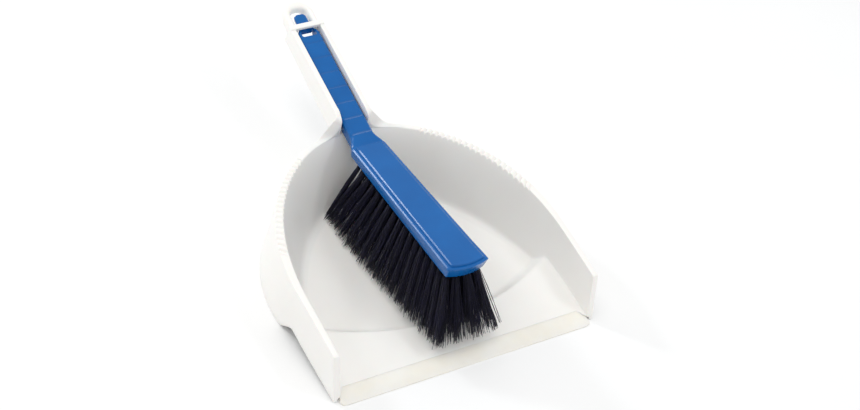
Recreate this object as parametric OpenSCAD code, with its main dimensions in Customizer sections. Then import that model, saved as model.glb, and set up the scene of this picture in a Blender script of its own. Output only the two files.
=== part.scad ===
// Dust pan and brush set: a one-piece pan with a rubber lip, and a hand brush
// whose handle lies in the pan's channel handle with its tip under a bridge bar.
// Lengths are in millimetres. Y runs from the lip to the hanging loop.

/* [Pan] */
// Length of the whole set, from the lip to the end of the hanging loop
set_len = 347; // [344:1:350]
// Half the width between the side walls at the rim
rim_half_w = 116; // [112:1:120]
// Height of the rim where it is highest, at the back
rim_h = 55; // [52:1:57]
// Wall and floor thickness
wall_t = 2.4; // [2:0.1:3]
// Width of the flat band on top of the rim
rim_band = 4.5; // [4:0.1:5]
// Radius of the ring that the skirt stands on
foot_r = 124.4; // [122:0.2:126]

/* [Ramp and lip] */
// Rise of the ramp for each millimetre towards the handle
ramp_slope = 0.16; // [0.12:0.01:0.18]
// Distance from the lip to the crest of the ramp, at the middle
crest_y = 43; // [40:1:48]
// Depth of the rubber lip, front to back
lip_depth = 15; // [12:1:17]

/* [Rim comb] */
// Notches in the comb on each side of the rim
comb_count = 20; // [8:1:22]
// Depth of one notch
comb_depth = 2; // [1:0.1:2.2]

/* [Channel handle] */
// Half the width inside the channel
channel_half_w = 11.4; // [11.2:0.1:11.8]
// Depth of the channel's side skirts at the shoulders
channel_skirt = 20.5; // [20:0.5:22]
// Width of the bridge bar, front to back
bar_len = 5; // [4.5:0.5:6]

/* [Brush] */
// Half the width of the brush head at its front
head_half_w = 18.2; // [17:0.1:19]
// Thickness of the brush head at its edge
head_t = 11.5; // [11:0.5:13]
// Grooves across the grip
grip_grooves = 7; // [3:1:7]
// Rows of tufts along the head
tuft_rows = 17; // [17:1:17]
// Length of the bristles below the head
bristle_len = 56; // [46:1:57]
// Radius of a tuft hole
tuft_r = 2.2; // [2:0.1:2.2]

/* [Hidden] */
$fn = 64;

pan_color = [0.94, 0.94, 0.92];
lip_color = [0.90, 0.87, 0.78];
brush_color = [0.12, 0.38, 0.70];
bristle_color = [0.07, 0.07, 0.12];
steel_color = [0.70, 0.71, 0.72];

big = 400;
eps = 0.01;

// The tub: outlines are a straight front joined to half an ellipse at the back.
front_y = -30;
loft_top = 60;
rim_axis_y = 80.3;
rim_back = 143.3;
floor_half_w = 114;
floor_axis_y = 8;
floor_back = 186;
skirt_axis_y = 74;
skirt_back = 151.8;
foot_axis_y = 98;
foot_front_w = 118;
wall_front_y = 5.6;
wall_front_lean = 0.242;
rim_arch_r = 1700;
rim_arch_y = 222;
rim_cap = 3;

// The ramp drops into the well along a wide arc.
ramp_front_z = 2;
crest_r = 208;
well_fall = 0.9;
crest_z = ramp_front_z + ramp_slope * crest_y;
bead_y = 20;
ramp_from = -20;
ramp_to = 150;

// The lip holds the pan's tongue in a slot.
lip_half_w = 115;
lip_inner_half_w = 113.4;
lip_nose = 1;
slot_z = 1.2;
slot_t = 1.2;
slot_y = 9;
lip_corner_r = 4;
lip_gap = 0.5;
lip_cut_h = 20;

// The comb runs over this stretch of the rim ellipse, in degrees.
comb_from = 17;
comb_to = 60;

// The channel's rim line, and its slope towards the end of the handle.
channel_y = 298;
channel_z = 89;
channel_angle = 11.6;
channel_from = -84;
channel_floor = 17.6;
channel_floor_t = 2;
channel_floor_from = -78;
channel_floor_end = 5;
skirt_rise = 4;
skirt_flare = 1.5;
bar_y = 314.2;
bar_gap_z = 2;
bar_rise = 1;
flange_past_bar = 4;
loop_half_w = 14.2;
loop_open_w = 7.6;
loop_far_band = 8.4;
loop_drop = 2;
loop_t = 9;
channel_half_out = channel_half_w + rim_band;
bar_from = (bar_y - channel_y) / cos(channel_angle);
channel_end = bar_from + flange_past_bar;
loop_end = (set_len - channel_y - (loop_drop + loop_t) * sin(channel_angle)) / cos(channel_angle);

// The shoulders, where the channel's walls sweep down into the rim.
shoulder_w = 17;
shoulder_y = 219.6;
shoulder_floor_z = 54.6;
shoulder_lap = 0.3;
shoulder_top_z = channel_z - (channel_y - shoulder_y) * tan(channel_angle);

// The brush, in the same frame: the head slopes up to its front, the grip to its tip.
head_front_y = 31;
head_front_z = 82;
head_back_y = 196;
head_back_z = 62.5;
head_back_half_w = 15.4;
head_back_t = 9.5;
head_nose_r = 44;
neck_y = 206;
neck_z = 65;
neck_half_w = 10.6;
grip_end_y = 312;
grip_end_half_w = 10.3;
grip_chamfer = 1.7;
grip_shell = 2.6;
grip_slope = 0.2187;
grip_t = 12.5;
grip_deep_y = 315;
hollow_from_y = 212;
hollow_to_y = 303;
tongue_y = 319;
tongue_half_w = 5.7;
tongue_t = 5;
tip_y = 331.4;
tip_corner_r = 3;
panel_inset = 3.2;
panel_h = 1.8;
panel_back_y = 194;
groove_w = 1.3;
groove_first_y = 207;
groove_pitch = 15.7;
hang_hole_half_w = 6.8;
hang_hole_y = 308.6;
hang_hole_len = 9;
hang_hole_r = 2;

// Tufts: four across, fanned outwards and towards both ends of the head.
tuft_columns = [-1, -0.36, 0.36, 1];
tuft_front_y = 43;
tuft_back_y = 184;
tuft_root = 5.5;
anchor_h = 1.6;
anchor_w = 4;
anchor_t = 0.5;
tuft_side_front = 11;
tuft_side_back = 24;
tuft_lean_front = 21;
tuft_lean_back = 0;
tuft_flare = 1.9;
tuft_clear_z = 4.2;
tuft_trim = 2;
tuft_neck = 1.5;
tuft_edge = 5.2;

// Places the set so that its footprint is centred on the origin.
module placed() {
  translate([0, -set_len / 2, 0]) children();
}

// Extrudes an outline drawn in Y and Z over the width of the part.
module side_profile(points, half_w = big / 2) {
  rotate([90, 0, 90]) translate([0, 0, -half_w]) linear_extrude(2 * half_w) polygon(points);
}

// Half an ellipse with a straight run to the front.
function d_outline(half_w, back, axis_y, front_w) = concat(
  [[-front_w, front_y], [front_w, front_y]],
  [for (i = [0:48]) [half_w * cos(i * 3.75), axis_y + back * sin(i * 3.75)]]
);

module d_plate(z, half_w, back, axis_y, front_w) {
  translate([0, 0, z]) linear_extrude(eps) polygon(d_outline(half_w, back, axis_y, front_w));
}

// Outer form of the tub, drawn in by inset.
module tub_outer(inset = 0) {
  hull() {
    d_plate(-eps, foot_r - inset, foot_r - inset, foot_axis_y, foot_front_w - inset);
    d_plate(loft_top, rim_half_w + rim_band - inset, skirt_back - inset, skirt_axis_y,
            rim_half_w + rim_band - inset);
  }
}

// Inner form of the tub, from the well's floor upwards, let out by outset.
module tub_inner(outset = 0) {
  hull() {
    d_plate(wall_t - outset, floor_half_w + outset, floor_back + outset, floor_axis_y,
            floor_half_w + outset);
    d_plate(loft_top, rim_half_w + outset, rim_back + outset, rim_axis_y, rim_half_w + outset);
  }
}

// Everything below the ramp, lowered by drop.
module below_ramp(drop) {
  top = ramp_front_z - drop;
  side_profile([[ramp_from, -1], [ramp_from, top + ramp_slope * ramp_from],
    [ramp_to, top + ramp_slope * ramp_to], [ramp_to, -1]]);
}

// The space behind the crest, which widens upwards; outset makes it larger.
module well(outset = 0) {
  low_r = crest_r - well_fall * (crest_z + 1) + outset;
  translate([0, crest_y + crest_r, -1])
    cylinder(h = loft_top + 1, r1 = low_r, r2 = low_r + well_fall * (loft_top + 1), $fn = 180);
}

// The rim's top follows a long arch from the mouth to the shoulders.
module below_rim() {
  translate([0, rim_arch_y, rim_h - rim_arch_r])
    rotate([0, 90, 0]) cylinder(r = rim_arch_r, h = big, center = true, $fn = 360);
}

function rim_z(y) = rim_h - rim_arch_r + sqrt(pow(rim_arch_r, 2) - pow(y - rim_arch_y, 2));

module comb() {
  for (side = [0, 1], i = [0:comb_count - 1]) {
    a = comb_from + (comb_to - comb_from) * i / (comb_count - 1);
    x = (rim_half_w + rim_band / 2) * cos(a);
    y = skirt_axis_y + (skirt_back - rim_band) * sin(a);
    mirror([side, 0, 0]) translate([x, y, rim_z(y)])
      rotate([0, 0, atan2(rim_half_w * sin(a), skirt_back * cos(a))])
        rotate([45, 0, 0]) cube([2 * rim_band, comb_depth * sqrt(2), comb_depth * sqrt(2)], center = true);
  }
}

module tub() {
  difference() {
    intersection() {
      tub_outer();
      below_rim();
    }
    difference() {
      tub_inner();
      difference() {
        below_ramp(0);
        well();
      }
    }
    difference() {
      below_ramp(wall_t);
      well(wall_t);
      translate([-lip_half_w, 0, 0]) cube([2 * lip_half_w, bead_y, big]);
    }
    intersection() {
      difference() {
        tub_outer(wall_t);
        tub_inner(wall_t);
      }
      well();
      translate([0, 0, -rim_cap]) below_rim();
    }
    translate([0, 0, -1]) side_profile([[2 * front_y, 0], [wall_front_y, 0],
      [wall_front_y + wall_front_lean * (loft_top + 1), loft_top + 1], [2 * front_y, loft_top + 1]]);
    translate([-lip_inner_half_w, -1, -1]) cube([2 * lip_inner_half_w, lip_depth + 1, lip_cut_h]);
    comb();
  }
  translate([-lip_inner_half_w + 1, slot_y, slot_z]) cube([2 * lip_inner_half_w - 2, lip_depth - slot_y + 1, slot_t]);
}

// Works in the channel's own frame: Y along the handle, Z = 0 at its rim.
module along_channel() {
  translate([0, channel_y, channel_z]) rotate([channel_angle, 0, 0]) children();
}

module channel_wall() {
  translate([0, channel_from, 0]) rotate([-90, 0, 0]) linear_extrude(channel_end - channel_from)
    polygon([[channel_half_w, 0], [channel_half_out, 0], [channel_half_out + skirt_flare, channel_skirt],
             [channel_half_out + skirt_flare - wall_t, channel_skirt], [channel_half_w, channel_floor]]);
}

// Two side walls that grow shallower towards the loop, and the floor between them.
module channel() {
  difference() {
    for (side = [0, 1]) mirror([side, 0, 0]) channel_wall();
    translate([0, (shoulder_y - channel_y) / cos(channel_angle), 0]) rotate([-channel_angle, 0, 0])
      translate([-big / 2, -big, -big / 2]) cube(big);
    translate([0, channel_from, -channel_skirt]) rotate([atan(skirt_rise / (channel_end - channel_from)), 0, 0])
      translate([-big / 2, 0, -big]) cube(big);
  }
  translate([-channel_half_w - 1, channel_floor_from, -channel_floor - channel_floor_t])
    cube([2 * channel_half_w + 2, channel_floor_end - channel_floor_from, channel_floor_t]);
}

module loop_outline(half_w, from_y, far_y) {
  translate([-half_w, from_y]) square([2 * half_w, far_y - half_w - from_y]);
  translate([0, far_y - half_w]) circle(half_w);
}

module hanging_loop() {
  translate([0, 0, -loop_drop - loop_t]) linear_extrude(loop_t) difference() {
    loop_outline(loop_half_w, bar_from + flange_past_bar - 1, loop_end);
    loop_outline(loop_open_w, bar_from - 1, loop_end - loop_far_band);
  }
}

module bridge_bar() {
  translate([-channel_half_out, bar_from, -bar_gap_z])
    cube([2 * channel_half_out, flange_past_bar, bar_gap_z + bar_rise]);
  translate([-loop_half_w, bar_from, -bar_gap_z]) cube([2 * loop_half_w, bar_len, bar_gap_z + bar_rise]);
}

// One shoulder: the rim's band sweeps up in a hollow curve to the channel's wall.
module shoulder() {
  low_z = shoulder_floor_z - channel_floor_t;
  rise = shoulder_top_z - rim_h;
  intersection() {
    translate([0, 0, low_z]) linear_extrude(big) difference() {
      polygon(d_outline(rim_half_w + rim_band, skirt_back, skirt_axis_y, rim_half_w));
      polygon(d_outline(rim_half_w, skirt_back - rim_band, skirt_axis_y, rim_half_w));
    }
    translate([0, big, 0]) rotate([90, 0, 0]) linear_extrude(big) polygon(concat(
      [[channel_half_w + shoulder_lap, low_z], [channel_half_w + shoulder_lap, shoulder_top_z],
       [channel_half_out, shoulder_top_z]],
      [for (a = [6:6:84]) [channel_half_out + shoulder_w * (1 - cos(a)), shoulder_top_z - rise * sin(a)]],
      [[channel_half_out + shoulder_w, rim_h - 1], [channel_half_out + shoulder_w, low_z]]));
  }
}

module dustpan() {
  color(pan_color) placed() {
    tub();
    for (side = [0, 1]) mirror([side, 0, 0]) shoulder();
    along_channel() {
      channel();
      hanging_loop();
      bridge_bar();
    }
  }
}

module rubber_lip() {
  color(lip_color) placed() intersection() {
    side_profile([[0, 0], [lip_depth, 0], [lip_depth, slot_z], [slot_y, slot_z], [slot_y, slot_z + slot_t],
      [lip_depth, slot_z + slot_t], [lip_depth, ramp_front_z + ramp_slope * lip_depth], [0, lip_nose]]);
    linear_extrude(lip_cut_h) {
      translate([-lip_half_w + lip_corner_r, 0]) square([2 * (lip_half_w - lip_corner_r), wall_front_y - lip_gap]);
      translate([-lip_half_w, lip_corner_r]) square([2 * lip_half_w, wall_front_y - lip_gap - lip_corner_r]);
      for (side = [-1, 1]) translate([side * (lip_half_w - lip_corner_r), lip_corner_r]) circle(lip_corner_r);
      translate([-lip_inner_half_w, lip_corner_r]) square([2 * lip_inner_half_w, lip_depth - lip_corner_r]);
    }
  }
}

function head_z(y) = head_front_z + (head_back_z - head_front_z) * (y - head_front_y) / (head_back_y - head_front_y);
function grip_z(y) = neck_z + grip_slope * (y - neck_y);
function head_half(y) = head_half_w + (head_back_half_w - head_half_w) * (y - head_front_y) / (head_back_y - head_front_y);
function head_bottom(y) = head_z(y) - head_t - (head_back_t - head_t) * (y - head_front_y) / (head_back_y - head_front_y);

module head_plan(inset) {
  intersection() {
    polygon([[-head_half(0) + inset, 0], [head_half(0) - inset, 0],
             [head_back_half_w - inset, head_back_y], [-head_back_half_w + inset, head_back_y]]);
    union() {
      translate([0, head_front_y + head_nose_r]) circle(head_nose_r - inset, $fn = 96);
      translate([-big / 2, head_front_y + head_nose_r]) square(big);
    }
  }
}

module brush_plan() {
  head_plan(0);
  for (side = [0, 1]) mirror([side, 0]) polygon([[-1, head_back_y - 1], [head_back_half_w, head_back_y - 1],
    [head_back_half_w, head_back_y], [neck_half_w, neck_y], [grip_end_half_w, grip_end_y],
    [tongue_half_w, tongue_y], [tongue_half_w, tip_y - tip_corner_r], [tongue_half_w - tip_corner_r, tip_y],
    [-1, tip_y]]);
  for (side = [-1, 1]) translate([side * (tongue_half_w - tip_corner_r), tip_y - tip_corner_r]) circle(tip_corner_r);
}

module brush_body() {
  intersection() {
    linear_extrude(big) brush_plan();
    side_profile([[head_front_y - 1, head_z(head_front_y - 1)], [head_back_y, head_back_z],
      [neck_y, neck_z], [tip_y + 1, grip_z(tip_y + 1)], [tip_y + 1, grip_z(tip_y) - tongue_t],
      [tongue_y, grip_z(tongue_y) - tongue_t], [grip_deep_y, grip_z(grip_deep_y) - grip_t],
      [neck_y, neck_z - grip_t], [head_back_y - 4, head_bottom(head_back_y - 4)],
      [head_front_y - 1, head_bottom(head_front_y - 1)]]);
  }
}

module top_panel() {
  intersection() {
    linear_extrude(big) intersection() {
      head_plan(panel_inset);
      translate([-big / 2, panel_back_y - big]) square(big);
    }
    side_profile([[0, head_z(0) + panel_h], [head_back_y, head_back_z + panel_h],
      [head_back_y, head_back_z - 2], [0, head_z(0) - 2]]);
  }
}

module grip_groove(y) {
  translate([0, y, grip_z(y)]) rotate([atan(grip_slope) + 45, 0, 0])
    cube([big, groove_w / sqrt(2), groove_w / sqrt(2)], center = true);
}

function along_head(row) = (row - 1) / (tuft_rows - 1);
function tuft_y(row) = tuft_front_y + (tuft_back_y - tuft_front_y) * along_head(row);
function tuft_side(row, column) = column * (tuft_side_front + (tuft_side_back - tuft_side_front) * along_head(row));
function tuft_lean(row) = tuft_lean_front - (tuft_lean_front + tuft_lean_back) * along_head(row);
function tuft_drop(row, column) = cos(tuft_side(row, column)) * cos(tuft_lean(row));
function tuft_length(row, column) = min(bristle_len,
  (head_bottom(tuft_y(row)) - tuft_clear_z) / tuft_drop(row, column) - tuft_trim);

// Puts a tuft's own axis, pointing down out of the block, at its hole.
module at_tuft(row, column) {
  y = tuft_y(row);
  translate([column * (head_half(y) - tuft_edge), y, head_bottom(y)])
    rotate([-tuft_lean(row), 0, 0]) rotate([0, -tuft_side(row, column), 0]) rotate([180, 0, 0]) children();
}

module tuft_holes() {
  for (row = [1:tuft_rows], column = tuft_columns)
    at_tuft(row, column) translate([0, 0, -tuft_root - anchor_h]) cylinder(r = tuft_r, h = tuft_root + anchor_h + 2 * tuft_r, $fn = 24);
}

// Chamfers both top edges of the grip.
module grip_edges() {
  for (side = [0, 1]) mirror([side, 0, 0]) translate([neck_half_w, neck_y, neck_z])
    rotate([atan(grip_slope), 0, atan((neck_half_w - grip_end_half_w) / (grip_end_y - neck_y))])
      rotate([0, 45, 0]) cube([grip_chamfer * sqrt(2), 2 * (tip_y - neck_y), grip_chamfer * sqrt(2)], center = true);
}

// The grip is a shell that is open underneath, as far as the solid end round the hanging hole.
module grip_hollow() {
  side_profile([[hollow_from_y, grip_z(hollow_from_y) - grip_shell], [hollow_to_y, grip_z(hollow_to_y) - grip_shell],
                [hollow_to_y, 0], [hollow_from_y, 0]], grip_end_half_w - grip_shell);
}

module hanging_hole() {
  translate([0, hang_hole_y, 0]) linear_extrude(big) {
    translate([-hang_hole_half_w, hang_hole_r])
      square([2 * hang_hole_half_w, hang_hole_len - 2 * hang_hole_r]);
    translate([-hang_hole_half_w + hang_hole_r, 0])
      square([2 * (hang_hole_half_w - hang_hole_r), hang_hole_len]);
    for (x = [-1, 1], y = [hang_hole_r, hang_hole_len - hang_hole_r])
      translate([x * (hang_hole_half_w - hang_hole_r), y]) circle(hang_hole_r);
  }
}

module brush_block() {
  color(brush_color) placed() difference() {
    union() {
      brush_body();
      top_panel();
    }
    for (i = [0:grip_grooves - 1]) grip_groove(groove_first_y + groove_pitch * i);
    grip_edges();
    grip_hollow();
    hanging_hole();
    tuft_holes();
  }
}

module tuft(length) {
  translate([0, 0, -tuft_root]) cylinder(r = tuft_r, h = tuft_root + tuft_neck, $fn = 24);
  translate([0, 0, tuft_neck]) cylinder(r1 = tuft_r, r2 = tuft_r * tuft_flare, h = length - tuft_neck, $fn = 24);
}

// A tuft is trimmed where it would reach the floor of the well.
module tuft_row(row) {
  color(bristle_color) placed() for (column = tuft_columns) at_tuft(row, column) tuft(tuft_length(row, column));
}

module tuft_anchors() {
  color(steel_color) placed() for (row = [1:tuft_rows], column = tuft_columns)
    at_tuft(row, column) translate([-anchor_w / 2, -anchor_t / 2, -tuft_root - anchor_h])
      cube([anchor_w, anchor_t, anchor_h]);
}

dustpan();
rubber_lip();
brush_block();
tuft_anchors();
for (row = [1:tuft_rows])
  tuft_row(row);
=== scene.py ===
"""Visual model of a dust pan and brush set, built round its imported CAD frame.

Shapes are worked out in millimetres, with Y measured from the front of the lip towards the
hanging loop. They move to the frame's own place, in metres, when each mesh is made.
"""

import math
import random

import bmesh
import bpy
import numpy as np
from mathutils import Matrix, Vector


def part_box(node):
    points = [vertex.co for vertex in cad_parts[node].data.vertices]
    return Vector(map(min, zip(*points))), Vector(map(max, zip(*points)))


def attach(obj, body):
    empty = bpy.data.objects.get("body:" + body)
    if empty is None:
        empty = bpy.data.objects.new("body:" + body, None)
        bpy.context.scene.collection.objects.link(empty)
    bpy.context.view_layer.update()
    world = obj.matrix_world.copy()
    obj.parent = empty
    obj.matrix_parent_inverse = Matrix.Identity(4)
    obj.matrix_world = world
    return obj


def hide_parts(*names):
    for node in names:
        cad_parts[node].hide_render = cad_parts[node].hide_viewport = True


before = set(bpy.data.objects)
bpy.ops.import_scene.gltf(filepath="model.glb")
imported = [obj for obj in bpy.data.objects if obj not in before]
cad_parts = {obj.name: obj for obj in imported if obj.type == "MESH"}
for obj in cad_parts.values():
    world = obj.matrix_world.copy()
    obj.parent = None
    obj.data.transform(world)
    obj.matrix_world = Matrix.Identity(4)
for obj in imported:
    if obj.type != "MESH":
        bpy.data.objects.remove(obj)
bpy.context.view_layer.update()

MM = 0.001
LIP_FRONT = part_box("rubber_lip")[0].y
SET_LENGTH = (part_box("dustpan")[1].y - LIP_FRONT) / MM

# The tub's wall. Its rim follows one long arch, highest at ARCH_Y.
LOFT_LOW_Z = 2.4
LOFT_TOP_Z = 60
WALL = 2.4
TAPER_FROM_Y = -30
RIM_BAND = 4.5
RIM_HEIGHT = 55
ARCH_RADIUS = 1700
ARCH_Y = 222
FRONT_Y = 5.6
FRONT_LEAN = 0.242
EDGE_RADIUS = 1.1
CAP_DEPTH = 3

# The skirt below the wall reaches the ground over SKIRT_RUN, behind the ramp.
SKIRT_FROM = 78
SKIRT_RUN = 11
SKIRT_LIFT = 0.4
SKIRT_MIDDLE_Z = 6
FOOT_RADIUS = 0.5

# The floor: a ramp up to a curved crest, then the well. Its corner with the wall widens
# from the first fillet radius to the second.
RAMP_Z = 2
RAMP_SLOPE = 0.16
CREST_Y = 43
CREST_RADIUS = 208
CREST_SOFT = 2
WELL_FALL = 0.9
WELL_SOFT = 2.5
FLOOR_FRONT_Y = 15
FILLET = (1.5, 6)
FILLET_FROM = 30
FILLET_RUN = 120

# Points of each line across the floor, crowded where it crosses the crest.
SPINE_PULL = 0.75
RAY_POINTS = 33
RAY_MARGIN = 0.12
RAY_CROWD = 1.6
RAY_START = 0.05

# The comb of notches in the rim, in degrees round an oval of this half width and reach.
COMB_OVAL = (118.25, 147.3)
COMB_FROM = 17
COMB_TO = 60
COMB_COUNT = 20
COMB_DEPTH = 2
COMB_SHARPNESS = 2.4
NOTCH_STEPS = 10

# The channel handle: its rim line passes through (CHANNEL_Y, CHANNEL_Z). The other values
# along it start there, and its skirt gets SKIRT_RISE shallower towards the loop.
CHANNEL_Y = 298
CHANNEL_Z = 89
CHANNEL_TILT = math.radians(11.6)
CHANNEL_HALF = 11.4
CHANNEL_DEPTH = 17.6
SKIRT_DEPTH = 20.5
SKIRT_FLARE = 1.5
SKIRT_RISE = 4
SKIRT_RISE_FROM = -84
SHOULDER_LOW_Z = 53
CHANNEL_WALL_FROM = -72
CHANNEL_FLOOR_FROM = -78
CHANNEL_FLOOR_TO = 5
CHANNEL_FLOOR_THICK = 2
BAR_FROM = 16.5
BAR_LENGTH = 5
BAR_LOW = -2
BAR_HIGH = 1
FLANGE_END = 20.5
LOOP_HALF = 14.2
LOOP_OPEN = 7.6
LOOP_FAR_BAND = 8.4
LOOP_DROP = 2
LOOP_THICK = 9
LOOP_ROOT_THICK = 14
LOOP_POINTS = 24
LOOP_SQUARENESS = 0.75

# The brush block. Pairs are (front, back), or (y, height of the top) for the three places.
HEAD_FRONT = (31, 82)
HEAD_BACK = (196, 62.5)
NECK = (206, 65)
HEAD_HALF = (18.2, 15.4)
HEAD_THICK = (11.5, 9.5)
NOSE_RADIUS = 44
NOSE_FADE = 35
UNDERCUT_FROM = 4.2
UNDERCUT_STEP = 1.2
UNDERCUT_STEP_SLOPE = 1.5
UNDERCUT_LEAN = 0.22
UNDERCUT_FADE = 9
SIDE_DRAFT = 1
HEAD_EDGE = (1.25, 0.95)
NECK_HALF = 10.6
GRIP_END = 312
GRIP_END_HALF = 10.3
GRIP_SLOPE = 0.2187
GRIP_THICK = 12.5
GRIP_SHELL = 2.6
GRIP_EDGE = 1.7
GRIP_DEEP_END = 315
HOLLOW_FROM = 211
HOLLOW_END = 303
HOLLOW_BLEND = 2
TONGUE_Y = 319
TONGUE_HALF = 5.7
TONGUE_THICK = 5
TIP_Y = 331.4
TIP_RADIUS = 2.2
PANEL_INSET = 3.2
PANEL_HEIGHT = 1.8
PANEL_BACK = 194
GROOVE_FIRST = 207
GROOVE_PITCH = 15.7
GROOVES = 7
GROOVE_DEPTH = 0.7
GROOVE_RAMP = 1.6
HOLE_HALF = 6.8
HOLE_Y = 308.6
HOLE_LENGTH = 9
HOLE_RADIUS = 2

# Each section of the block has this many corners in its upper line, each cut into points.
# FINE and SOFT are corner radii, and BLOCK_SHARP is in degrees.
UPPER_CORNERS = 17
CORNER_POINTS = 4
CORNER_SHARE = 0.45
FINE = 0.06
SOFT = 0.1
BLOCK_SHARP = 32

# The tufts. Pairs are (front row, back row).
ROWS = 17
COLUMNS = (-1, -0.36, 0.36, 1)
TUFT_Y = (43, 184)
TUFT_SIDE = (12, 27)
TUFT_LEAN = (28, -7)
TUFT_INSET = 5.2
BRISTLE_LENGTH = 60
BRISTLE_CLEAR = 3.2
TIP_CLEAR = 1.5
WALL_CLEAR = 3
BRISTLES_PER_TUFT = 84
TUFT_RADIUS = 1.9
TUFT_ROOT = 0.5
TIP_SPREAD = (3.2, 6)
FRONT_FAN = 0.4
FRONT_FAN_ROWS = 3
INNER_FAN = 0.6

# The lip.
LIP_HALF = 115
LIP_INNER_HALF = 113.4
LIP_DEPTH = 15
LIP_NOSE = 1
LIP_CORNER = 4
LIP_END_Y = 5.1


# ---------------------------------------------------------------- shape helpers


def lerp(a, b, share):
    return a + (b - a) * share


def smooth_min(a, b, width):
    """The lower of two heights, with the edge between them rounded."""
    return np.minimum(a, b) - np.maximum(width - np.abs(a - b), 0) ** 2 / (4 * width)


def ease(share):
    share = min(max(share, 0), 1)
    return share * share * (3 - 2 * share)


def corner(before, at, after, radius, steps=4):
    """Points that round one corner of a line, from the side of before to the side of after."""
    start = at + (before - at) * (radius / np.linalg.norm(before - at))
    stop = at + (after - at) * (radius / np.linalg.norm(after - at))
    t = np.linspace(0, 1, steps + 1)[:, None]
    return (1 - t) ** 2 * start + 2 * t * (1 - t) * at + t**2 * stop


def rounded_loop(points, radii, steps=4):
    """A closed line through points, each corner rounded by its own radius."""
    points = [np.asarray(p, float) for p in points]
    count = len(points)
    parts = [
        corner(points[i - 1], points[i], points[(i + 1) % count], radii[i], steps)
        for i in range(count)
    ]
    return np.vstack(parts)


def straight(a, b, count):
    """Points between a and b, without the two ends."""
    t = np.linspace(0, 1, count + 2)[1:-1, None]
    return (1 - t) * a + t * b


def spline(controls, share):
    """A smooth curve through rows of control values, at a share of its length from 0 to 1."""
    controls = np.asarray(controls, float)
    last = len(controls) - 1
    place = min(share * last, last - 1e-9)
    i = int(place)
    t = place - i
    p0, p1 = controls[max(i - 1, 0)], controls[i]
    p2, p3 = controls[i + 1], controls[min(i + 2, last)]
    linear = (p2 - p0) * t
    square = (2 * p0 - 5 * p1 + 4 * p2 - p3) * t * t
    cube = (3 * p1 - p0 - 3 * p2 + p3) * t**3
    return (2 * p1 + linear + square + cube) / 2


class Solid:
    """Collects loops and faces in millimetres, then makes one mesh object of them."""

    def __init__(self):
        self.points = []
        self.faces = []

    def add(self, points):
        """Adds points and returns their numbers."""
        first = len(self.points)
        self.points.extend(np.asarray(points, float).tolist())
        return list(range(first, len(self.points)))

    def sweep(self, loops, closed=True, caps=True):
        """Skins a row of loops with the same number of points, and can close both ends."""
        rows = [self.add(loop) for loop in loops]
        count = len(rows[0])
        for a, b in zip(rows, rows[1:]):
            for i in range(count if closed else count - 1):
                j = (i + 1) % count
                self.faces.append((a[i], a[j], b[j], b[i]))
        if caps:
            self.faces.append(tuple(reversed(rows[0])))
            self.faces.append(tuple(rows[-1]))
        return rows

    def make(self, name, material, sharp):
        """One object of all the faces, smooth but for edges sharper than this many degrees."""
        mesh = bpy.data.meshes.new(name)
        points = np.array(self.points) * MM
        points[:, 1] += LIP_FRONT
        mesh.from_pydata(points.tolist(), [], self.faces)
        mesh.validate()
        bm = bmesh.new()
        bm.from_mesh(mesh)
        bmesh.ops.remove_doubles(bm, verts=bm.verts, dist=0.004 * MM)
        bmesh.ops.dissolve_degenerate(bm, edges=bm.edges, dist=0.002 * MM)
        bmesh.ops.recalc_face_normals(bm, faces=bm.faces)
        bm.to_mesh(mesh)
        bm.free()
        mesh.shade_smooth()
        mesh.set_sharp_from_angle(angle=math.radians(sharp))
        mesh.materials.append(material)
        piece = bpy.data.objects.new(name, mesh)
        bpy.context.scene.collection.objects.link(piece)
        return piece


def place(piece, body, slot, *nodes):
    """Puts a piece on its body in place of its CAD nodes."""
    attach(piece, body)
    if nodes:
        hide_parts(*nodes)


# ---------------------------------------------------------------- materials


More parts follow.
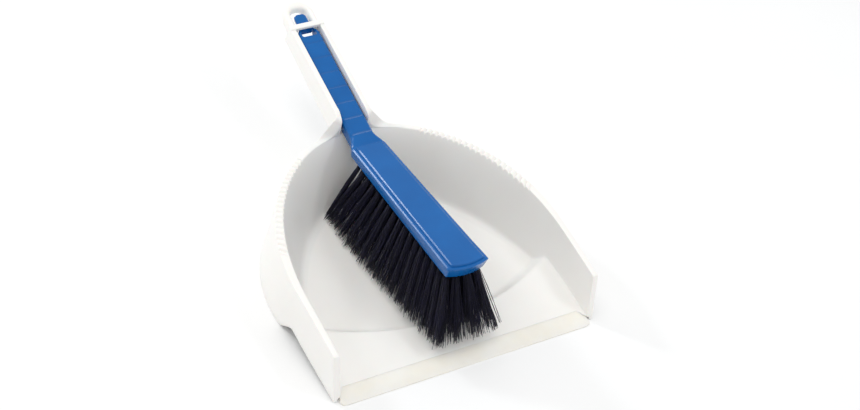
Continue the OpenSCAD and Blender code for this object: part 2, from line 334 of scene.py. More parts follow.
class Finish:
    """A node material that starts from noise in the piece's own coordinates."""

    def __init__(self, name):
        self.material = bpy.data.materials.new(name)
        self.material.use_nodes = True
        self.tree = self.material.node_tree
        self.shader = self.tree.nodes["Principled BSDF"]
        self.coords = self.tree.nodes.new("ShaderNodeTexCoord").outputs["Object"]

    def link(self, source, target):
        self.tree.links.new(source, target)

    def stretched(self, scale):
        """The piece's coordinates, scaled by a different amount along each axis."""
        node = self.tree.nodes.new("ShaderNodeMapping")
        node.inputs["Scale"].default_value = scale
        self.link(self.coords, node.inputs["Vector"])
        return node.outputs["Vector"]

    def noise(self, scale, detail=3, coords=None, distortion=0):
        node = self.tree.nodes.new("ShaderNodeTexNoise")
        node.inputs["Scale"].default_value = scale
        node.inputs["Detail"].default_value = detail
        node.inputs["Distortion"].default_value = distortion
        self.link(coords or self.coords, node.inputs["Vector"])
        return node.outputs["Fac"]

    def ramp(self, value, *stops):
        """Colours at places from 0 to 1, blended between."""
        node = self.tree.nodes.new("ShaderNodeValToRGB")
        bar = node.color_ramp
        while len(bar.elements) < len(stops):
            bar.elements.new(0.5)
        for element, (at, colour) in zip(bar.elements, stops):
            element.position = at
            element.color = (*colour, 1)
        self.link(value, node.inputs["Fac"])
        return node.outputs["Color"]

    def spread(self, value, low, high, at=(0.3, 0.7)):
        """Turns noise into a number between low and high."""
        node = self.tree.nodes.new("ShaderNodeMapRange")
        node.inputs["From Min"].default_value = at[0]
        node.inputs["From Max"].default_value = at[1]
        node.inputs["To Min"].default_value = low
        node.inputs["To Max"].default_value = high
        self.link(value, node.inputs["Value"])
        return node.outputs["Result"]

    def bump(self, *layers):
        """Stacks bumps, each a (noise, height in metres) pair, onto the surface."""
        normal = None
        for value, height in layers:
            node = self.tree.nodes.new("ShaderNodeBump")
            node.inputs["Strength"].default_value = 1
            node.inputs["Distance"].default_value = height
            self.link(value, node.inputs["Height"])
            if normal:
                self.link(normal, node.inputs["Normal"])
            normal = node.outputs["Normal"]
        self.link(normal, self.shader.inputs["Normal"])

    def colour(self, output):
        self.link(output, self.shader.inputs["Base Color"])

    def roughness(self, output):
        self.link(output, self.shader.inputs["Roughness"])

    def set(self, **values):
        for name, value in values.items():
            self.shader.inputs[name.replace("_", " ")].default_value = value


def pan_plastic():
    """Satin white moulded plastic, with a fine grain and faint flow marks."""
    finish = Finish("pan_plastic")
    mottle = finish.noise(22, 5)
    marks = finish.noise(60, 4, finish.stretched((1, 0.25, 0.6)), 0.6)
    finish.colour(finish.ramp(mottle, (0.3, (0.91, 0.888, 0.852)), (0.7, (0.935, 0.918, 0.888))))
    finish.roughness(finish.spread(marks, 0.34, 0.47))
    grain = finish.noise(2600, 2)
    finish.bump((marks, 0.00006), (grain, 0.000012))
    finish.set(Specular_IOR_Level=0.42, Subsurface_Weight=0.06, Subsurface_Scale=0.003)
    return finish.material


def lip_rubber():
    """Cream, slightly clear soft rubber, dulled by a fine powdery skin."""
    finish = Finish("lip_rubber")
    cloud = finish.noise(45, 5)
    streak = finish.noise(120, 3, finish.stretched((0.15, 1, 1)))
    finish.colour(finish.ramp(cloud, (0.28, (0.91, 0.86, 0.76)), (0.72, (0.94, 0.91, 0.84))))
    finish.roughness(finish.spread(streak, 0.38, 0.6))
    finish.bump((streak, 0.00008), (finish.noise(1900, 2), 0.00002))
    finish.set(Subsurface_Weight=0.25, Subsurface_Scale=0.006, Subsurface_Radius=(1, 0.8, 0.5))
    return finish.material


def brush_plastic():
    """Glossy blue moulded plastic with a light orange-peel and fine rub marks."""
    finish = Finish("brush_plastic")
    cloud = finish.noise(35, 4)
    rubs = finish.noise(260, 4, finish.stretched((1, 0.06, 1)), 0.3)
    finish.colour(finish.ramp(cloud, (0.3, (0.0005, 0.102, 0.355)), (0.7, (0.001, 0.12, 0.405))))
    finish.roughness(finish.spread(rubs, 0.2, 0.26))
    finish.bump((finish.noise(70, 1), 0.00004), (finish.noise(2400, 2), 0.000004))
    finish.set(Specular_IOR_Level=0.31, Coat_Weight=0.06, Coat_Roughness=0.1)
    return finish.material


def bristle():
    """Navy nylon filaments: each one differs a little, with streaks along its length."""
    finish = Finish("bristle")
    along = finish.noise(900, 2, finish.stretched((1, 1, 0.05)))
    clump = finish.noise(160, 2, finish.stretched((1, 1, 0.2)))
    finish.colour(finish.ramp(along, (0.35, (0.0015, 0.0015, 0.006)), (0.65, (0.009, 0.008, 0.034))))
    finish.roughness(finish.spread(clump, 0.3, 0.46))
    finish.bump((finish.noise(5000, 2), 0.00001))
    finish.set(Specular_IOR_Level=0.3)
    return finish.material


def anchor_steel():
    """Drawn steel staple wire."""
    finish = Finish("anchor_steel")
    drawn = finish.noise(1500, 3, finish.stretched((0.1, 1, 1)))
    finish.colour(finish.ramp(drawn, (0.3, (0.45, 0.45, 0.46)), (0.7, (0.62, 0.62, 0.63))))
    finish.roughness(finish.spread(drawn, 0.25, 0.42))
    finish.bump((drawn, 0.00001))
    finish.set(Metallic=1)
    return finish.material


def stage_paper():
    """Plain pale studio paper."""
    finish = Finish("stage_paper")
    finish.colour(finish.ramp(finish.noise(3), (0.4, (0.93, 0.93, 0.93)), (0.6, (0.95, 0.95, 0.95))))
    finish.roughness(finish.spread(finish.noise(40), 0.8, 0.9))
    finish.bump((finish.noise(1200), 0.00002))
    finish.set(Specular_IOR_Level=0.1)
    return finish.material


# ---------------------------------------------------------------- the pan's tub


class Oval:
    """An outline at one height: two straight sides joined by half an ellipse at the back."""

    def __init__(self, z, half, back, axis_y, front_half):
        self.z, self.half, self.back, self.axis_y = z, half, back, axis_y
        self.lean = (half - front_half) / (axis_y - TAPER_FROM_Y)

    def side(self, y):
        return self.half - self.lean * (self.axis_y - y)

    def arc(self, angle):
        """The point of the ellipse that faces this angle."""
        c, s = math.cos(angle), math.sin(angle)
        size = math.hypot(self.half * c, self.back * s)
        return self.half**2 * c / size, self.axis_y + self.back**2 * s / size


INNER_OVALS = (Oval(LOFT_LOW_Z, 114, 186, 8, 114), Oval(LOFT_TOP_Z, 116, 143.3, 80.3, 116))
OUTER_OVALS = (Oval(0, 124.4, 124.4, 98, 118), Oval(LOFT_TOP_Z, 120.5, 151.8, 74, 120.5))


class Station:
    """One place along the wall: a share of its straight side, or an angle of its round back."""

    def __init__(self, share=None, angle=None, notch=0, inset=0):
        self.share, self.angle, self.inset = share, angle, inset
        self.drop = COMB_DEPTH * (2 * notch) ** COMB_SHARPNESS
        facing = angle or 0
        self.out = np.array([math.cos(facing), math.sin(facing), 0])

    def point(self, ovals, z, offset=0):
        """The wall between two ovals at height z, moved outwards by offset."""
        low, high = ovals
        rise = (z - low.z) / (high.z - low.z)
        if self.angle is None:
            front = FRONT_Y + FRONT_LEAN * z
            y = lerp(front, lerp(low.axis_y, high.axis_y, rise), self.share)
            x = lerp(low.side(y), high.side(y), rise)
        else:
            (x0, y0), (x1, y1) = low.arc(self.angle), high.arc(self.angle)
            x, y = lerp(x0, x1, rise), lerp(y0, y1, rise)
        return np.array([x, y, z]) + self.out * offset

    def top(self, ovals, offset):
        """The wall's top corner, which follows the rim's long arch."""
        z = RIM_HEIGHT
        for _ in range(4):
            y = self.point(ovals, z)[1]
            z = RIM_HEIGHT - ARCH_RADIUS + math.sqrt(ARCH_RADIUS**2 - (y - ARCH_Y) ** 2)
        return self.point(ovals, z - self.drop - abs(offset), offset)

    def base(self):
        """Where the inner wall meets the floor."""
        low, high = 0.5, 30
        for _ in range(24):
            z = (low + high) / 2
            x, y, _z = self.point(INNER_OVALS, z)
            if z < floor_height(x, max(y, FLOOR_FRONT_Y)):
                low = z
            else:
                high = z
        return self.point(INNER_OVALS, (low + high) / 2)


def before_crest(x, y):
    """Distance in front of the crest's arc, below 0 in the well."""
    return np.hypot(x, y - CREST_Y - CREST_RADIUS) - CREST_RADIUS


def floor_height(x, y):
    """A ramp that drops over a curved crest into the flat well."""
    ramp = RAMP_Z + RAMP_SLOPE * y
    crest_z = RAMP_Z + RAMP_SLOPE * CREST_Y
    slope = crest_z + before_crest(x, y) / WELL_FALL
    well = -smooth_min(-slope, -LOFT_LOW_Z, WELL_SOFT)
    return smooth_min(ramp, well, CREST_SOFT)


def floor_ray(base):
    """Floor points from beside the wall to the middle, closer together at the crest."""
    start = np.array([base[0], max(base[1], FLOOR_FRONT_Y)])
    end = np.array([0, lerp(FLOOR_FRONT_Y, start[1], SPINE_PULL)])
    steps = np.linspace(0, 1, 201)[:, None]
    line = start * (1 - steps) + end * steps
    nearest = steps[np.argmin(np.abs(before_crest(line[:, 0], line[:, 1]))), 0]
    crossing = min(max(nearest, RAY_MARGIN), 1 - RAY_MARGIN)
    t = np.linspace(0, 1, RAY_POINTS)
    outer = crossing * (1 - (1 - t[:-1]) ** RAY_CROWD)
    inner = crossing + (1 - crossing) * t**RAY_CROWD
    share = lerp(RAY_START, 1, np.concatenate([outer, inner]))[:, None]
    line = start * (1 - share) + end * share
    return np.column_stack([line, floor_height(line[:, 0], line[:, 1])])


def foot_height(station):
    """Height of the skirt's edge, and how far it reaches down, from 0 under the ramp to 1."""
    if station.angle is not None:
        return 0, 1
    y = station.point(OUTER_OVALS, SKIRT_MIDDLE_Z)[1]
    under_ramp = RAMP_Z - WALL + RAMP_SLOPE * y
    reach = min(max((y - SKIRT_FROM) / SKIRT_RUN, 0), 1)
    return max(under_ramp, SKIRT_LIFT) * (1 - reach), reach


def tub_section(station):
    """One closed section: floor, inner wall, rim, outer wall, skirt and underside."""
    inset = station.inset
    base = station.base()
    floor = floor_ray(base)
    inner_top = station.top(INNER_OVALS, inset)
    outer_top = station.top(OUTER_OVALS, -inset)
    foot_z, reach = foot_height(station)
    foot = station.point(OUTER_OVALS, foot_z, -inset)
    foot_in = station.point(OUTER_OVALS, foot_z, -WALL)
    cavity_z = lerp(foot_z, outer_top[2] - CAP_DEPTH, reach)
    cavity_out = station.point(OUTER_OVALS, cavity_z, -WALL)
    cavity_in = station.point(INNER_OVALS, cavity_z, WALL)
    under_base = station.point(INNER_OVALS, base[2], WALL)
    under_base[2] -= WALL
    fillet = lerp(*FILLET, ease((base[1] - FILLET_FROM) / FILLET_RUN))
    foot_round = min(FOOT_RADIUS, 0.4 * np.linalg.norm(foot - foot_in))
    inside = np.vstack([floor[::-1], corner(floor[0], base, inner_top, fillet, 5)])
    rim_in = corner(base, inner_top, outer_top, EDGE_RADIUS)
    rim_out = corner(inner_top, outer_top, foot, EDGE_RADIUS)
    foot_out = corner(outer_top, foot, foot_in, foot_round, 2)
    underside = floor - [0, 0, WALL]
    parts = [inside, straight(inside[-1], rim_in[0], 6), rim_in, rim_out,
             straight(rim_out[-1], foot_out[0], 6), foot_out,
             [foot_in, cavity_out, cavity_in, under_base], underside]
    return np.vstack(parts), len(floor)


def wall_stations():
    """Stations of the right half, from the mouth to the middle of the back."""
    stations = [Station(share=0, inset=0.55), Station(share=0.004, inset=0.15)]
    stations += [Station(share=share) for share in np.linspace(0.01, 1, 24)]
    pitch = (COMB_TO - COMB_FROM) / (COMB_COUNT - 1)
    comb_start, comb_end = COMB_FROM - pitch / 2, COMB_TO + pitch / 2
    turns = [(turn, 0) for turn in np.linspace(0, comb_start, 30)[1:]]
    for i in range(1, COMB_COUNT * NOTCH_STEPS):
        share = (i % NOTCH_STEPS) / NOTCH_STEPS
        turns.append((comb_start + i * pitch / NOTCH_STEPS, 0.5 - min(share, 1 - share)))
    turns += [(turn, 0) for turn in np.linspace(comb_end, 90, 26)]
    across, along = COMB_OVAL
    for turn, notch in turns:
        t = math.radians(turn)
        angle = math.atan2(across * math.sin(t), along * math.cos(t))
        stations.append(Station(angle=angle, notch=notch))
    return stations


def add_tub(solid):
    """Both halves of the tub, each with its front end closed floor first, then wall."""
    sections = [tub_section(station) for station in wall_stations()]
    floor_count = sections[0][1]
    for side in (1, -1):
        loops = [points * [side, 1, 1] for points, _count in sections]
        front = solid.sweep(loops, closed=False, caps=False)[0]
        under = front[-floor_count:][::-1]
        for i in range(floor_count - 1):
            solid.faces.append((front[i], front[i + 1], under[i + 1], under[i]))
        solid.faces.append(tuple(front[floor_count - 1 : len(front) - floor_count + 1]))


# ---------------------------------------------------------------- the channel handle


def along_channel(x, y, z):
    """Moves a point from the channel's own frame, whose Z is 0 at its rim."""
    c, s = math.cos(CHANNEL_TILT), math.sin(CHANNEL_TILT)
    return np.array([x, CHANNEL_Y + y * c - z * s, CHANNEL_Z + y * s + z * c])


def channel_station(y):
    """Corners of one side wall: inner top, outer top, outer bottom, inner bottom."""
    outer = CHANNEL_HALF + RIM_BAND
    depth = SKIRT_DEPTH - SKIRT_RISE * (y - SKIRT_RISE_FROM) / (FLANGE_END - SKIRT_RISE_FROM)
    flare = SKIRT_FLARE * depth / SKIRT_DEPTH
    floor = min(CHANNEL_DEPTH, depth)
    return [along_channel(CHANNEL_HALF, y, 0), along_channel(outer, y, 0),
            along_channel(outer + flare, y, -depth), along_channel(CHANNEL_HALF, y, -floor)]


def shoulder_controls():
    """Corners of the rim's band as it sweeps up from the tub and turns onto the channel."""
    inner = [(44, 210, 54.9), (33, 214.6, 54.9), (25, 217.2, 55), (19.5, 218.6, 56.4),
             (16, 219.2, 59.6), (13.6, 219.6, 64.6), (12.2, 220.4, 70)]
    outer = [(46.5, 213.9, 54.9), (39, 217.4, 54.9), (33.5, 219.9, 55.6), (29, 221.4, 58.4),
             (25, 222.3, 62.6), (20.5, 222.8, 68), (17, 223.2, 72.4)]
    low = SHOULDER_LOW_Z
    return [[a, b, (b[0], b[1], low), (a[0], a[1], low)] for a, b in zip(inner, outer)]


def add_channel_wall(solid, side):
    controls = shoulder_controls()
    controls += [channel_station(CHANNEL_WALL_FROM + step) for step in (0, 6, 14, 30, 55, 80)]
    controls.append(channel_station(FLANGE_END))
    loops = []
    for share in np.linspace(0, 1, 97):
        corners = spline(controls, share)
        loop = rounded_loop(corners, [0.9, 1.1, 0.6, 0.6])
        loops.append(loop * [side, 1, 1])
    solid.sweep(loops)


def add_channel_floor(solid):
    top, low = -CHANNEL_DEPTH, -CHANNEL_DEPTH - CHANNEL_FLOOR_THICK
    half = CHANNEL_HALF + 1
    loops = []
    for y in np.linspace(CHANNEL_FLOOR_FROM, CHANNEL_FLOOR_TO, 12):
        corners = [along_channel(-half, y, low), along_channel(half, y, low),
                   along_channel(half, y, top), along_channel(-half, y, top)]
        loops.append(rounded_loop(corners, [0.5] * 4, 2))
    solid.sweep(loops)


def add_bar(solid):
    """The bridge bar: a strap with rounded edges between the two walls."""
    loops = []
    half = CHANNEL_HALF + RIM_BAND
    middle = np.linspace(-half + 2, half - 2, 15)
    for x in [-half, -half + 0.5, *middle, half - 0.5, half]:
        shrink = 0.5 if abs(x) == half else 0
        start = BAR_FROM + shrink
        end = (FLANGE_END if abs(x) > LOOP_HALF else BAR_FROM + BAR_LENGTH) - shrink
        top = BAR_HIGH - shrink
        corners = [along_channel(x, start, BAR_LOW), along_channel(x, end, BAR_LOW),
                   along_channel(x, end, top), along_channel(x, start, top)]
        loops.append(rounded_loop(corners, [0.5, 0.5, 1, 1]))
    solid.sweep(loops)


def loop_section(centre, out, half_w, half_t, z):
    """A rounded oblong section, flatter than an ellipse."""
    points = []
    for i in range(LOOP_POINTS):
        a = 2 * math.pi * i / LOOP_POINTS
        c, s = math.cos(a), math.sin(a)
        across = half_w * math.copysign(abs(c) ** LOOP_SQUARENESS, c)
        up = half_t * math.copysign(abs(s) ** LOOP_SQUARENESS, s)
        points.append(along_channel(centre[0] + out[0] * across, centre[1] + out[1] * across, z + up))
    return points


def add_loop(solid):
    """The hanging loop: one rounded band that leaves the bar, turns and comes back."""
    tilt = math.sin(CHANNEL_TILT)
    far = (SET_LENGTH - CHANNEL_Y - (LOOP_DROP + LOOP_THICK) * tilt) / math.cos(CHANNEL_TILT)
    turn_y = far - LOOP_HALF
    band = LOOP_HALF - LOOP_OPEN
    start = BAR_FROM + 1.5
    sides = np.linspace(start, turn_y, 7)
    path = [(0, y) for y in sides[:-1]]
    path += [(math.radians(a), turn_y) for a in np.linspace(0, 180, 33)]
    path += [(math.pi, y) for y in sides[-2::-1]]
    loops = []
    for angle, y in path:
        width = lerp(band, LOOP_FAR_BAND, math.sin(angle) ** 2)
        near = (1 - math.sin(angle) + (turn_y - y) / (turn_y - start)) / 2
        thick = lerp(LOOP_THICK, LOOP_ROOT_THICK, near)
        out = (math.cos(angle), math.sin(angle))
        middle = LOOP_HALF - width / 2
        centre = (out[0] * middle, y + out[1] * middle)
        loops.append(loop_section(centre, out, width / 2, thick / 2, -LOOP_DROP - thick / 2))
    solid.sweep(loops)


def make_pan(material):
    solid = Solid()
    add_tub(solid)
    for side in (1, -1):
        add_channel_wall(solid, side)
    add_channel_floor(solid)
    add_bar(solid)
    add_loop(solid)
    place(solid.make("dust_pan", material, 40), "pan", "pan_plastic", "dustpan")


# ---------------------------------------------------------------- the lip


def make_lip(material):
    """A tapered strip with a rounded nose and front corners, its top in line with the ramp."""
    solid = Solid()
    loops = []
    slope = (RAMP_Z + RAMP_SLOPE * LIP_DEPTH - LIP_NOSE) / LIP_DEPTH
    middle = np.linspace(-LIP_INNER_HALF, LIP_INNER_HALF, 60)
    end = [LIP_HALF - LIP_CORNER * (1 - math.sin(math.radians(a))) for a in (55, 72, 84, 90)]
    for x in [*[-x for x in reversed(end)], *middle, *end]:
        past = max(abs(x) - (LIP_HALF - LIP_CORNER), 0)
        front = LIP_CORNER - math.sqrt(max(LIP_CORNER**2 - past**2, 0))
        back = LIP_DEPTH if abs(x) <= LIP_INNER_HALF else LIP_END_Y
        nose, heel = LIP_NOSE + slope * front, LIP_NOSE + slope * back
        corners = [(x, front, 0), (x, back, 0), (x, back, heel), (x, front, nose)]
        loops.append(rounded_loop(corners, [0.3, 0.3, 0.45, 0.4], 3))
    solid.sweep(loops)
    place(solid.make("soft_lip", material, 35), "pan", "lip_rubber", "rubber_lip")


# ---------------------------------------------------------------- the brush


def head_share(y):
    return (y - HEAD_FRONT[0]) / (HEAD_BACK[0] - HEAD_FRONT[0])


def block_top(y):
    """Height of the block's top face, before the panel and the grooves."""
    if y <= HEAD_BACK[0]:
        return lerp(HEAD_FRONT[1], HEAD_BACK[1], head_share(y))
    if y <= NECK[0]:
        return lerp(HEAD_BACK[1], NECK[1], (y - HEAD_BACK[0]) / (NECK[0] - HEAD_BACK[0]))
    return NECK[1] + GRIP_SLOPE * (y - NECK[0])


def block_half(y):
    """Half the block's width: head, curved neck, grip, tongue and rounded tip."""
    neck_from, neck_to = HEAD_BACK[0] - 3, NECK[0] + 1
    if y <= neck_from:
        return lerp(*HEAD_HALF, head_share(y))
    if y <= neck_to:
        head_half = lerp(*HEAD_HALF, head_share(neck_from))
        return lerp(head_half, NECK_HALF, ease((y - neck_from) / (neck_to - neck_from)))
    if y <= GRIP_END:
        return lerp(NECK_HALF, GRIP_END_HALF, (y - NECK[0]) / (GRIP_END - NECK[0]))
    if y <= TONGUE_Y:
        return lerp(GRIP_END_HALF, TONGUE_HALF, (y - GRIP_END) / (TONGUE_Y - GRIP_END))
    past = max(y - (TIP_Y - TIP_RADIUS), 0)
    return TONGUE_HALF - TIP_RADIUS + math.sqrt(max(TIP_RADIUS**2 - past**2, 0))


def block_thick(y):
    """The block's thickness, which deepens at the neck and ends in a thin tongue."""
    neck_from = HEAD_BACK[0] - 4
    if y <= neck_from:
        return lerp(*HEAD_THICK, head_share(y))
    if y <= NECK[0]:
        return lerp(HEAD_THICK[1], GRIP_THICK, ease((y - neck_from) / (NECK[0] - neck_from)))
    if y <= GRIP_DEEP_END:
        return GRIP_THICK
    return lerp(GRIP_THICK, TONGUE_THICK, min((y - GRIP_DEEP_END) / (TONGUE_Y - GRIP_DEEP_END), 1))


def nose_shift(x, y, z):
    """How far the arched, undercut front pushes a point of the section back."""
    arch_fade = 1 - ease((y - HEAD_FRONT[0]) / NOSE_FADE)
    cut_fade = 1 - ease((y - HEAD_FRONT[0]) / UNDERCUT_FADE)
    below = max(block_top(y) - UNDERCUT_FROM - z, 0)
    undercut = min(below * UNDERCUT_STEP_SLOPE, UNDERCUT_STEP) + UNDERCUT_LEAN * below
    return arch_fade * (NOSE_RADIUS - math.sqrt(NOSE_RADIUS**2 - x * x)) + cut_fade * undercut


def block_outline(y, panel, groove, shrink):
    """Corners of the block's section at y, each (x, z, radius), all round from the right edge."""
    half = block_half(y) - shrink
    top = block_top(y) - groove - shrink * 0.6
    low = block_top(y) - block_thick(y) + shrink * 0.6
    grip = ease((y - HEAD_BACK[0] + 2) / 12) * (1 if y < TONGUE_Y else 0.4)
    reach, fall = [lerp(edge, GRIP_EDGE, grip) for edge in HEAD_EDGE]
    shelf = half - min(PANEL_INSET, half * 0.6)
    crown = top + panel
    panel_edge = shelf - min(1.25, 0.25 * shelf)
    upper = [(half - SIDE_DRAFT, low, 0.5), (half, top - fall, FINE), (half - reach, top, FINE),
             (shelf, top, SOFT), (shelf - 0.1, crown - panel / 2, FINE), (panel_edge, crown, FINE),
             (shelf * 0.66, crown, SOFT), (shelf * 0.33, crown, SOFT)]
    deep = ease((y - HOLLOW_FROM) / HOLLOW_BLEND) * (1 - ease((y - HOLLOW_END) / HOLLOW_BLEND))
    inside = lerp(low, top - GRIP_SHELL, deep)
    wall = half - min(GRIP_SHELL, half * 0.45)
    lower = [(wall, low, 0.2), (wall, inside, 0.2), (wall * 0.66, inside, SOFT),
             (wall * 0.33, inside, SOFT)]
    upper_left = [(-x, z, radius) for x, z, radius in reversed(upper)]
    lower_left = [(-x, z, radius) for x, z, radius in lower]
    middle, ceiling = (0, crown, SOFT), (0, inside, SOFT)
    return [*upper, middle, *upper_left, *lower_left, ceiling, *reversed(lower)]


def block_section(y, panel=0, groove=0, shrink=0):
    """One closed section of the block, with its corners rounded and its front shaped."""
    outline = block_outline(y, panel, groove, shrink)
    flat = [np.array([x, 0, z], float) for x, z, _radius in outline]
    points = []
    for i, point in enumerate(flat):
        before, after = flat[i - 1], flat[(i + 1) % len(flat)]
        room = CORNER_SHARE * min(np.linalg.norm(point - before), np.linalg.norm(point - after))
        if room < 0.02:
            points.extend([point] * CORNER_POINTS)
        else:
            points.extend(corner(before, point, after, min(outline[i][2], room), CORNER_POINTS - 1))
    return [(p[0], y + nose_shift(p[0], y, p[2]), p[2]) for p in points]


def zip_cap(solid, row, split):
    """Closes an end with triangles from right to left, between its upper and lower lines."""
    upper, lower = row[: split + 1], [row[0], *reversed(row[split:])]
    i = j = 0
    while i < len(upper) - 1 or j < len(lower) - 1:
        if j == len(lower) - 1:
            upper_next = True
        elif i == len(upper) - 1:
            upper_next = False
        else:
            upper_next = solid.points[upper[i + 1]][0] >= solid.points[lower[j + 1]][0]
        third = upper[i + 1] if upper_next else lower[j + 1]
        if len({upper[i], lower[j], third}) == 3:
            solid.faces.append((upper[i], lower[j], third))
        i, j = (i + 1, j) if upper_next else (i, j + 1)


def block_stations():
    """(y, panel height, groove depth, shrink) for each section, closer where the shape changes."""
    front, panel_front = HEAD_FRONT[0], HEAD_FRONT[0] + PANEL_INSET
    step_up = 0.6 * PANEL_HEIGHT
    stations = [(front, 0, 0, 0.6), (front + 0.2, 0, 0, 0.2), (front + 0.6, 0, 0, 0),
                (panel_front - 0.3, 0, 0, 0), (panel_front, step_up, 0, 0),
                (panel_front + 0.5, PANEL_HEIGHT, 0, 0)]
    stations += [(y, PANEL_HEIGHT, 0, 0) for y in np.linspace(panel_front + 3, PANEL_BACK - 1.2, 34)]
    stations += [(PANEL_BACK - 0.4, step_up, 0, 0), (PANEL_BACK, 0, 0, 0)]
    stations += [(y, 0, 0, 0) for y in range(PANEL_BACK + 1, GROOVE_FIRST - 1)]
    for i in range(GROOVES):
        y = GROOVE_FIRST + GROOVE_PITCH * i
        ramp_end = y + GROOVE_RAMP
        stations += [(y - 0.4, 0, 0, 0), (y - 0.1, 0, 0.9 * GROOVE_DEPTH, 0),
                     (y + 0.1, 0, GROOVE_DEPTH, 0), (ramp_end - 0.15, 0, 0.1 * GROOVE_DEPTH, 0),
                     (ramp_end + 0.15, 0, 0, 0)]
        stations += [(y + step, 0, 0, 0) for step in (3, 4.5, 6, 9, 12, 14)]
    stations = [station for station in stations if station[0] < GRIP_END - 3]
    round_y = TIP_Y - TIP_RADIUS
    ends = [*np.linspace(GRIP_END - 2, TONGUE_Y, 10), *np.linspace(TONGUE_Y + 1.5, round_y, 5)]
    ends += [round_y + TIP_RADIUS * math.sin(math.radians(a)) for a in (15, 30, 45, 60, 72, 82)]
    stations += [(y, 0, 0, 0) for y in ends]
    stations.append((TIP_Y - 0.02, 0, 0, 0.5))
    return stations


def hole_tool(material):
    """A rounded prism, well above and below the grip, that cuts the hanging hole."""
    solid = Solid()
    far_y = HOLE_Y + HOLE_LENGTH
    corners = [(-HOLE_HALF, HOLE_Y, 0), (HOLE_HALF, HOLE_Y, 0), (HOLE_HALF, far_y, 0),
               (-HOLE_HALF, far_y, 0)]
    outline = rounded_loop(corners, [HOLE_RADIUS] * 4, 6)
    solid.sweep([outline + [0, 0, 60], outline + [0, 0, 110]])
    return solid.make("hole_tool", material, 35)


def make_block(material):
    """The head, grip and tongue in one, with the hanging hole cut out."""
    solid = Solid()
    rows = solid.sweep([block_section(*station) for station in block_stations()], caps=False)
    for row in (rows[0], rows[-1]):
        zip_cap(solid, row, UPPER_CORNERS * CORNER_POINTS - 1)
    block = solid.make("brush_body", material, BLOCK_SHARP)
    tool = hole_tool(material)
    cut = block.modifiers.new("hanging_hole", "BOOLEAN")
    cut.object = tool
    cut.operation = "DIFFERENCE"
    cut.solver = "EXACT"
    view = bpy.context.evaluated_depsgraph_get()
    mesh = bpy.data.meshes.new_from_object(block.evaluated_get(view))
    block.modifiers.clear()
    block.data = mesh
    mesh.set_sharp_from_angle(angle=math.radians(BLOCK_SHARP))
    bpy.data.objects.remove(tool)
    place(block, "brush", "brush_plastic", "brush_block")


def tuft_frame(row, column):
    """Root and direction of one tuft, and the length that clears the floor."""
    share = row / (ROWS - 1)
    y = lerp(*TUFT_Y, share)
    side = math.radians(column * lerp(*TUFT_SIDE, share))
    lean = math.radians(lerp(*TUFT_LEAN, share))
    root = np.array([column * (block_half(y) - TUFT_INSET), y, block_top(y) - block_thick(y)])
    way = np.array([math.sin(side), -math.cos(side) * math.sin(lean), -math.cos(side) * math.cos(lean)])
    length = min(BRISTLE_LENGTH, (root[2] - BRISTLE_CLEAR) / -way[2])
    return root, way, length


def inside_wall(point):
    """Pulls a point back inside the tub's inner wall, with a little room to spare."""
    low, high = INNER_OVALS
    rise = (point[2] - low.z) / (high.z - low.z)
    half = lerp(low.half, high.half, rise) - WALL_CLEAR
    back = lerp(low.back, high.back, rise) - WALL_CLEAR
    centre = np.array([0, lerp(low.axis_y, high.axis_y, rise), point[2]])
    x, y, _z = point - centre
    reach = math.hypot(x / half, max(y, 0) / back)
    return centre + [x / max(reach, 1), y / max(reach, 1), 0]


def add_bristle(solid, root, tip, sag, width, rings=5):
    """One thin filament: a three-sided tube that bends by sag and thins towards its tip."""
    way = (tip - root) / np.linalg.norm(tip - root)
    across = np.cross(way, [0, 1, 0.3])
    across /= np.linalg.norm(across)
    other = np.cross(way, across)
    loops = []
    for i in range(rings + 1):
        t = i / rings
        centre = root * (1 - t) + tip * t + sag * (4 * t * (1 - t))
        radius = width * lerp(1, 0.7, t**3)
        turns = (0, 2 * math.pi / 3, 4 * math.pi / 3)
        loops.append([centre + radius * (across * math.cos(a) + other * math.sin(a)) for a in turns])
    solid.sweep(loops)


def make_tuft_row(row, material):
    """Four tufts of filaments that spread towards their tips, more so at the front and inside."""
    rng = random.Random(100 + row)
    solid = Solid()
    for column in COLUMNS:
        front_fan = FRONT_FAN * (1 - ease(row / FRONT_FAN_ROWS))
        fan = np.array([1 + front_fan + INNER_FAN * (1 - abs(column)), 1, 1])
        root, way, length = tuft_frame(row, column)
        for _ in range(BRISTLES_PER_TUFT):
            turn = rng.uniform(0, 2 * math.pi)
            reach = math.sqrt(rng.random())
            ring = np.array([math.cos(turn), math.sin(turn), 0]) * reach
            start = root + ring * TUFT_RADIUS + [0, 0, TUFT_ROOT]
            spread = ring * fan * rng.uniform(*TIP_SPREAD) + [rng.gauss(0, 1), rng.gauss(0, 1), 0]
            long = length * rng.uniform(0.94, 1.0)
            tip = inside_wall(root + way * long + spread)
            tip[2] = max(tip[2], TIP_CLEAR + floor_height(tip[0], tip[1]))
            sag = np.array([rng.gauss(0, 0.6), rng.gauss(0, 0.6), 0])
            add_bristle(solid, start, tip, sag, rng.uniform(0.2, 0.29))
    piece = solid.make(f"bristles_{row + 1:02d}", material, 180)
    place(piece, "brush", "bristle", f"tuft_row_{row + 1:02d}")


# ---------------------------------------------------------------- stage, lights and camera


SET_CENTRE = Vector((0, 0, 0.03))


def make_stage(material):
    """A pale sheet of paper under the set, which turns up far behind it."""
    solid = Solid()
    half = 2500
    profile = [(-half, 0), (half, 0), (half + 400, 60), (half + 700, 300), (half + 800, 800)]
    loops = [[(x, y, z - 0.05) for y, z in profile] for x in np.linspace(-half, half, 5)]
    solid.sweep(loops, closed=False, caps=False)
    solid.make("studio_floor", material, 60)


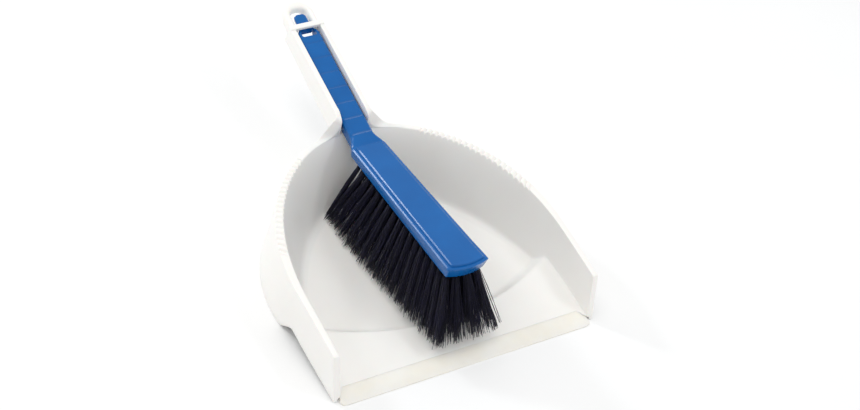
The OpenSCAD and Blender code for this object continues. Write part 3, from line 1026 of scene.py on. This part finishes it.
def add_light(name, place_at, size, power, colour=(1, 1, 1)):
    """A round soft light that faces the middle of the set."""
    data = bpy.data.lights.new(name, "AREA")
    data.shape = "DISK"
    data.size = size
    data.energy = power
    data.color = colour
    lamp = bpy.data.objects.new(name, data)
    bpy.context.scene.collection.objects.link(lamp)
    lamp.location = place_at
    lamp.rotation_mode = "QUATERNION"
    lamp.rotation_quaternion = (Vector(place_at) - SET_CENTRE).to_track_quat("Z", "Y")


def make_lights():
    """A soft key above, two small lights that edge the brush, a faint fill and a pale room."""
    add_light("top_key", (-0.3, 0.2, 1.7), 1.0, 5.8, (1, 0.985, 0.955))
    add_light("edge_glint", (-0.83, 1.29, 0.92), 0.3, 6, (0.9, 0.96, 1))
    add_light("groove_glint", (0.77, -0.71, 1.37), 0.3, 3, (0.9, 0.96, 1))
    add_light("fill_front", (0.2, -1.6, 1.0), 1.6, 0.5)
    world = bpy.data.worlds.new("soft_room")
    world.use_nodes = True
    background = world.node_tree.nodes["Background"]
    background.inputs["Color"].default_value = (1, 1, 1, 1)
    background.inputs["Strength"].default_value = 0.77
    bpy.context.scene.world = world


def make_camera():
    """Looks down on the set from its front left corner."""
    turn, height, roll = math.radians(-39.03), math.radians(44.03), math.radians(13.81)
    distance, shift_right, shift_up = 1.4718, -0.03475, -0.00344
    target = Vector((0, -0.0235, 0.03))
    level = Vector((math.cos(turn), math.sin(turn), 0))
    away = math.cos(height)
    back = Vector((math.sin(turn) * away, -math.cos(turn) * away, math.sin(height)))
    up = back.cross(level)
    right = level * math.cos(roll) + up * math.sin(roll)
    above = up * math.cos(roll) - level * math.sin(roll)
    data = bpy.data.cameras.new("camera")
    data.lens = 75.05
    data.sensor_width = 36
    data.clip_end = 50
    camera = bpy.data.objects.new("camera", data)
    bpy.context.scene.collection.objects.link(camera)
    camera.rotation_mode = "QUATERNION"
    camera.rotation_quaternion = Matrix((right, above, back)).transposed().to_quaternion()
    camera.location = target + back * distance - right * shift_right - above * shift_up
    bpy.context.scene.camera = camera


# ---------------------------------------------------------------- the scene

bpy.context.scene.view_settings.view_transform = "Standard"
make_camera()
make_lights()
make_stage(stage_paper())
make_pan(pan_plastic())
make_lip(lip_rubber())
make_block(brush_plastic())
navy = bristle()
for tuft in range(ROWS):
    make_tuft_row(tuft, navy)
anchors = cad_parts["tuft_anchors"].data
anchors.materials.clear()
anchors.materials.append(anchor_steel())
